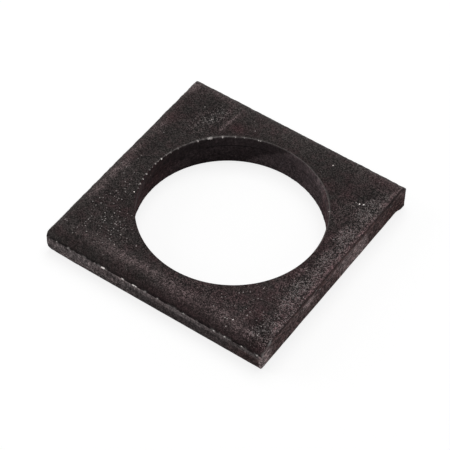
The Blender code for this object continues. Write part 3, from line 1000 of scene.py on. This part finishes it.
class WASHER_OT_add_stage(bpy.types.Operator):
    """Set up the camera, the soft lights and the pale floor"""

    bl_idname = "washer.add_stage"
    bl_label = "Add Stage"

    def execute(self, context):
        stage = context.scene.washer_stage
        self.add_camera(context, stage)
        self.add_lights(context, stage)
        self.add_floor(stage)
        context.scene.view_settings.view_transform = "Standard"
        return {"FINISHED"}

    def add_camera(self, context, stage):
        """The camera, set by its angles round the plate."""
        azimuth, elevation = stage.azimuth, stage.elevation
        right = Vector((math.cos(azimuth), math.sin(azimuth), 0))
        up = Vector((
            -math.sin(azimuth) * math.sin(elevation),
            math.cos(azimuth) * math.sin(elevation), math.cos(elevation)))
        back = right.cross(up)
        tipped = Matrix.Rotation(stage.roll, 3, back)
        right, up = tipped @ right, tipped @ up
        aim = Vector((0, 0, THICKNESS)) + right * AIM_RIGHT + up * AIM_UP
        camera = bpy.data.cameras.new("camera")
        camera.lens = stage.lens
        camera.clip_start, camera.clip_end = 0.05, 10
        obj = link_object("camera", camera)
        turned = Matrix((right, up, back)).transposed().to_4x4()
        obj.matrix_world = Matrix.Translation(aim + back * stage.distance) @ turned
        context.scene.camera = obj

    def add_lights(self, context, stage):
        """Two softboxes, and a grey room that pales to white at the skyline."""
        for power, (name, (size, spot)) in zip((stage.overhead, stage.side_light), LAMPS.items()):
            lamp = bpy.data.lights.new(name, "AREA")
            lamp.energy = power
            lamp.size = size
            obj = link_object(name, lamp)
            obj.location = spot
            obj.rotation_euler = Vector(spot).to_track_quat("Z", "Y").to_euler()
        world = bpy.data.worlds.new("studio")
        context.scene.world = world
        world.use_nodes = True
        add = partial(add_node, world.node_tree)
        direction = add("ShaderNodeTexCoord").outputs["Generated"]
        rise = add("ShaderNodeSeparateXYZ", direction).outputs["Z"]
        level = add(RAMP, rise, 0.12, 0.34, 1, 0.24, interpolation_type="SMOOTHSTEP")
        fill(world.node_tree.nodes["Background"], (1, 1, 1, 1), level)

    def add_floor(self, stage):
        """A pale floor that reads white to the camera but still takes the plate's shadow."""
        half = FLOOR_SIZE / 2
        mesh = bpy.data.meshes.new("floor")
        mesh.from_pydata(
            [(-half, -half, 0), (half, -half, 0), (half, half, 0), (-half, half, 0)], [],
            [(0, 1, 2, 3)])
        material = bpy.data.materials.new("floor_paint")
        material.use_nodes = True
        add = partial(add_node, material.node_tree)
        shader = fill(material.node_tree.nodes["Principled BSDF"], {
            "Base Color": stage.floor_colour, "Roughness": 0.9, "Specular IOR Level": 0})
        ray = add("ShaderNodeLightPath").outputs
        seen = add(MATH, ray["Is Camera Ray"], ray["Is Glossy Ray"], operation="ADD")
        seen = add(MATH, seen, ray["Is Transmission Ray"], operation="ADD", use_clamp=True)
        white = add("ShaderNodeEmission", {"Strength": 0.8})
        shadow = add("ShaderNodeBsdfDiffuse", (0.32, 0.32, 0.32, 1))
        both = add("ShaderNodeAddShader", white, shadow)
        mixed = add("ShaderNodeMixShader", seen, shader, both)
        fill(material.node_tree.nodes["Material Output"], mixed)
        mesh.materials.append(material)
        floor = link_object("floor", mesh)


class WASHER_OT_add_plate(bpy.types.Operator):
    """Draw the plate as one closed skin, with its rolled, sheared and torn edges"""

    bl_idname = "washer.add_plate"
    bl_label = "Add Plate"

    def execute(self, context):
        shape = context.scene.washer_shape
        places, kinds, broken = zip(*plate_skin(shape))
        count = len(places[0])
        # Each row's spots, the next row's, and the same one station on
        here = np.arange(len(kinds) * count).reshape(-1, count)
        beyond = np.roll(here, -1, axis=0)
        corners = (here, beyond, np.roll(beyond, -1, axis=1), np.roll(here, -1, axis=1))
        points = np.vstack(places)
        mesh = bpy.data.meshes.new("washer_plate")
        mesh.from_pydata(points.tolist(), [], np.stack(corners, axis=2).reshape(-1, 4).tolist())
        finishes = painted(
            points, np.repeat(kinds, count), np.concatenate(broken), (shape.hole_x, shape.hole_y))
        for name, values in finishes.items():
            layer = mesh.attributes.new(name, "FLOAT", "POINT")
            top = 4 if name == "tone" else 1
            layer.data.foreach_set("value", np.clip(values, 0, top).astype(np.float32))
        finish = context.scene.washer_finish
        mesh.materials.append(mill_scale(finish))
        mesh.materials.append(sheared_steel(finish))
        cut = [
            after in ("cut", "bore") or kind == "bore"
            for kind, after in zip(kinds, kinds[1:] + kinds[:1])]
        mesh.polygons.foreach_set("material_index", np.repeat(cut, count).astype(np.int32))
        mesh.shade_smooth()
        mesh.set_sharp_from_angle(angle=SHARP_ANGLE)
        mesh.validate()
        keep(link_object("washer_plate", mesh), CAD_NODE)
        return {"FINISHED"}


class WASHER_OT_add_burrs(bpy.types.Operator):
    """Set beads of burr along the hole's rim and the front's shelf, and bright grit on top"""

    bl_idname = "washer.add_burrs"
    bl_label = "Add Burrs"

    def execute(self, context):
        shape = context.scene.washer_shape
        tree = burr_row_tree()
        steel = burr_steel(context.scene.washer_finish)
        radius = shape.hole_diameter / 2 + 0.4 * LIP_WIDTH
        bearings, sizes = np.array(RIM_GLINTS).T
        rim = np.array((shape.hole_x, shape.hole_y)) + radius * heading(np.radians(bearings))
        spots, widths, strengths = np.array(SHELF_GLINTS).T
        shelf = np.column_stack([spots * MM, spots * 0 - HALF_SIDE + 0.08 * MM])
        grit = np.array(TOP_GLINTS) * MM
        rows = {
            "rim_burr": (rim, THICKNESS - 0.45 * LIP_DEPTH, sizes, 1.5),
            "shelf_burr": (
                shelf, top_height(shelf) - 0.04 * MM, 0.3 + 1.6 * widths * strengths, 2.2),
            "bright_grit": (grit, top_height(grit) - 0.05 * MM, [0.9] * len(grit), 1)}
        for number, (name, (points, height, radii, stretch)) in enumerate(rows.items()):
            base = path(name + "_path", raised(points, height), radii)
            keep(grow(name, base, tree, {
                "Bead Size": shape.bead_size, "Stretch": stretch, "Scatter": 0.02 * MM,
                "Seed": shape.seed + number, "Material": steel}))
        return {"FINISHED"}


class WASHER_OT_add_flakes(bpy.types.Operator):
    """Scatter loose flakes of scale and grit over the plate"""

    bl_idname = "washer.add_flakes"
    bl_label = "Add Flakes"

    def execute(self, context):
        shape = context.scene.washer_shape
        plate = bpy.data.objects["washer_plate"]
        base = link_object("flake_ground", plate.data.copy())
        keep(grow("loose_flakes", base, flake_tree(), {
            "Share Name": "scuff", "Flakes per Square Metre": 1.6e6,
            "Flake Size": shape.flake_size, "Flake Length": 1.2, "Flake Thickness": 0.2,
            "Seed": shape.seed, "Material": scale_dust(context.scene.washer_finish)}))
        return {"FINISHED"}


class WASHER_PT_panel(bpy.types.Panel):
    """The washer's tab in the sidebar"""

    bl_idname = "WASHER_PT_panel"
    bl_label = "Square Plate Washer"
    bl_space_type = "VIEW_3D"
    bl_region_type = "UI"
    bl_category = "Washer"

    def draw(self, context):
        for key, group in GROUPS.items():
            box = self.layout.box()
            box.label(text=key.removeprefix("washer_").title())
            for name in group.__annotations__:
                box.prop(getattr(context.scene, key), name)
        for operator in OPERATORS:
            self.layout.operator(operator.bl_idname)


GROUPS = {
    "washer_shape": WasherShape, "washer_finish": WasherFinish, "washer_stage": WasherStage}
OPERATORS = (
    WASHER_OT_add_stage, WASHER_OT_add_plate, WASHER_OT_add_burrs, WASHER_OT_add_flakes)


def register():
    for cls in (*GROUPS.values(), *OPERATORS, WASHER_PT_panel):
        bpy.utils.register_class(cls)
    for name, group in GROUPS.items():
        setattr(bpy.types.Scene, name, PointerProperty(type=group))


def unregister():
    for name in GROUPS:
        delattr(bpy.types.Scene, name)
    for cls in reversed((*GROUPS.values(), *OPERATORS, WASHER_PT_panel)):
        bpy.utils.unregister_class(cls)


def main():
    """Build the stage and the washer."""
    register()
    bpy.ops.washer.add_stage()
    bpy.ops.washer.add_plate()
    bpy.ops.washer.add_burrs()
    bpy.ops.washer.add_flakes()


if __name__ == "__main__":
    main()
